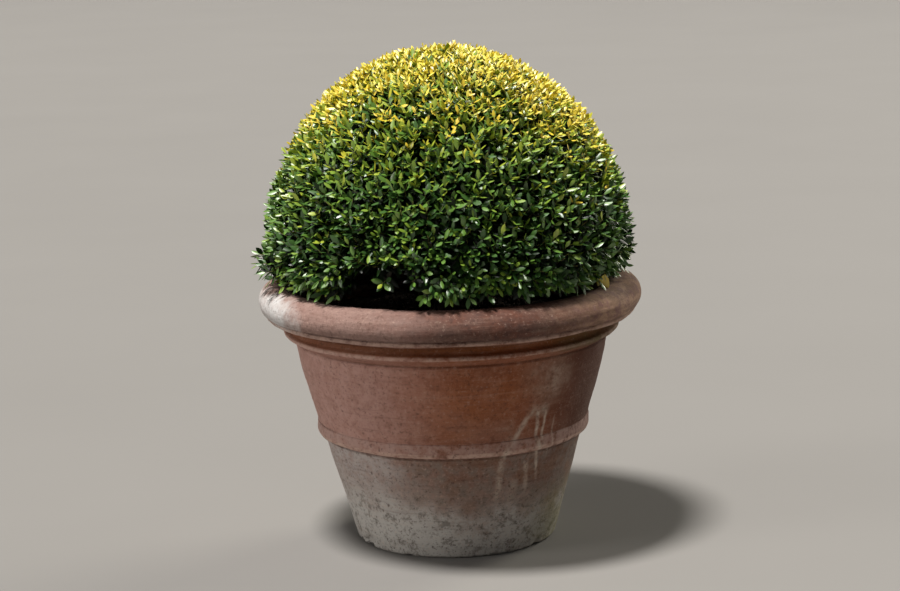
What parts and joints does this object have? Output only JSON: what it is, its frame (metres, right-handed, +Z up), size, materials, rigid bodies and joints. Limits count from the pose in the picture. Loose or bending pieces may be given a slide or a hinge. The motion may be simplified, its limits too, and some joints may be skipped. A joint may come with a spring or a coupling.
{
  "type": "box topiary ball in a terracotta pot",
  "caption": "Clipped box ball, half a metre across, growing from a short hidden stem in a round terracotta pot with a rolled rim and a raised ring.",
  "frame": {"origin": "centre of the pot's flat underside, on the ground it stands on", "axes": "+Z up along the pot's axis; -Y faces the picture's camera, +X is to its right"},
  "size_m": [0.5, 0.5, 0.6489],
  "materials": {
    "terracotta": "matte",
    "compost": "matte",
    "bark": "matte",
    "leaves": "satin"
  },
  "bodies": {
    "root": {"pot": "terracotta", "compost": "compost", "stem": "bark", "bough_1": "bark", "bough_2": "bark", "bough_3": "bark", "bough_4": "bark", "bough_5": "bark", "foliage": "leaves"}
  },
  "joints": []
}
